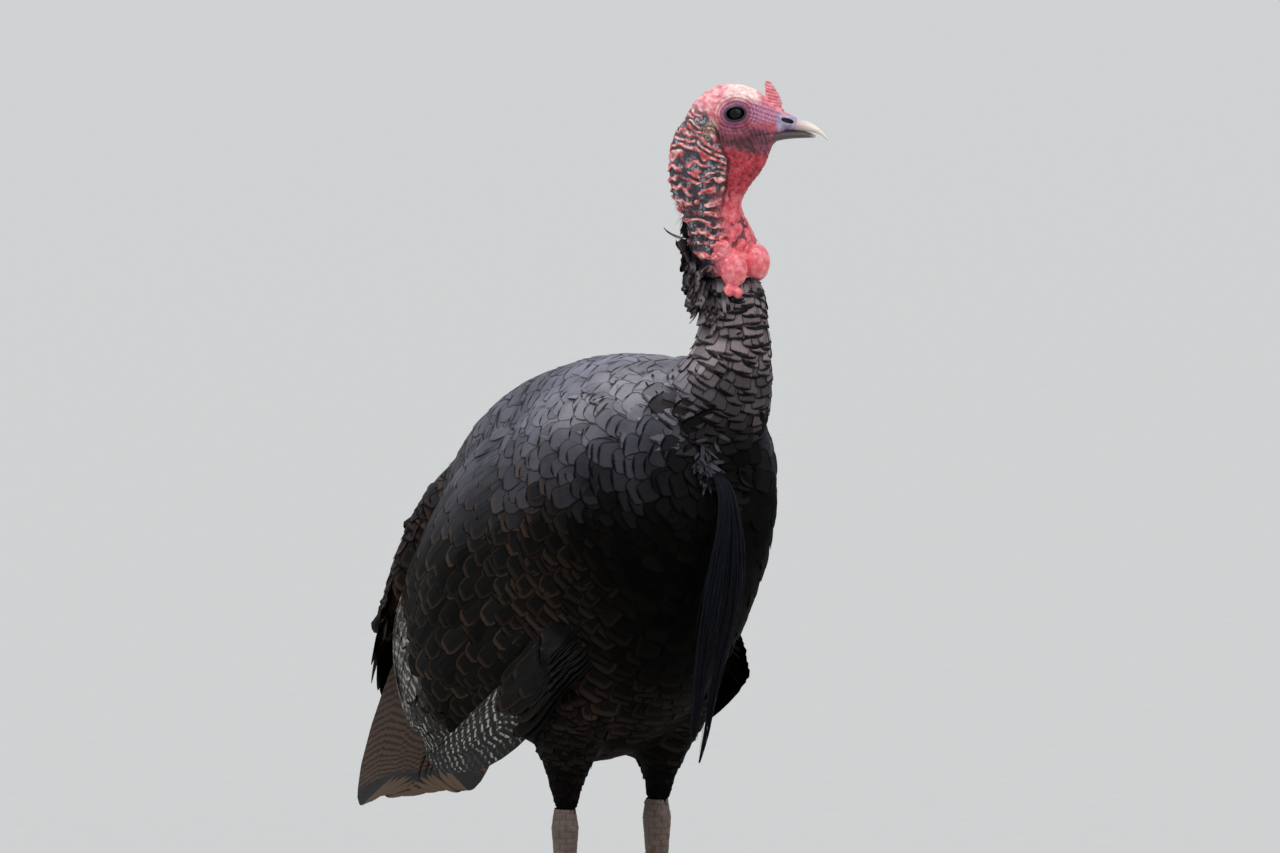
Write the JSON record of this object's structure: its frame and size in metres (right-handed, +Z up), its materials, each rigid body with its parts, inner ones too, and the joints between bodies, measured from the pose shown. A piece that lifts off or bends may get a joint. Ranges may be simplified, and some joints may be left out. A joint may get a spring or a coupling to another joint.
{
  "type": "wild turkey",
  "caption": "Life-size standing wild turkey gobbler, alert, head turned to its left, with folded wings, hanging beard, snood, bare wrinkled neck and lowered tail.",
  "frame": {"origin": "on the floor, at the middle of the bird's overall length and width", "axes": "+X the way the breast faces, +Y the bird's left, +Z up"},
  "size_m": [0.5086, 0.268, 0.8395],
  "materials": {
    "plumage": "wet contour feathers, near black with bronze edges",
    "barred_quills": "flight feathers barred in black and off-white",
    "tail_quills": "chestnut brown, barred, with a black band near the tip",
    "bare_skin": "bare skin in pink, mauve and red, folded and pebbled",
    "caruncle_skin": "glossy red fleshy lobes",
    "bill_horn": "horn, grey-mauve to pale at the tip",
    "eye": "polished dark brown",
    "bristle": "coarse black bristles",
    "leg_skin": "scaled, pinkish grey-brown",
    "claw_horn": "dark horn"
  },
  "bodies": {
    "root": {"trunk": "plumage", "neck_feathered": "plumage", "tail_coverts": "plumage", "undertail": "plumage", "wing_right": "plumage", "wing_left": "plumage", "thigh_right": "plumage", "thigh_left": "plumage", "primaries_right": "barred_quills", "primaries_left": "barred_quills", "tail": "tail_quills", "neck_bare": "bare_skin", "head": "bare_skin", "throat": "bare_skin", "caruncle_right": "caruncle_skin", "caruncle_middle": "caruncle_skin", "caruncle_left": "caruncle_skin", "caruncle_low": "caruncle_skin", "snood": "caruncle_skin", "bill_upper": "bill_horn", "bill_lower": "bill_horn", "eye_right": "eye", "eye_left": "eye", "beard": "bristle", "shank_right": "leg_skin", "shank_left": "leg_skin", "toe_right_inner": "leg_skin", "toe_right_middle": "leg_skin", "toe_right_outer": "leg_skin", "toe_right_hind": "leg_skin", "toe_left_inner": "leg_skin", "toe_left_middle": "leg_skin", "toe_left_outer": "leg_skin", "toe_left_hind": "leg_skin", "spur_right": "claw_horn", "spur_left": "claw_horn", "claw_right_inner": "claw_horn", "claw_right_middle": "claw_horn", "claw_right_outer": "claw_horn", "claw_right_hind": "claw_horn", "claw_left_inner": "claw_horn", "claw_left_middle": "claw_horn", "claw_left_outer": "claw_horn", "claw_left_hind": "claw_horn"}
  },
  "joints": []
}
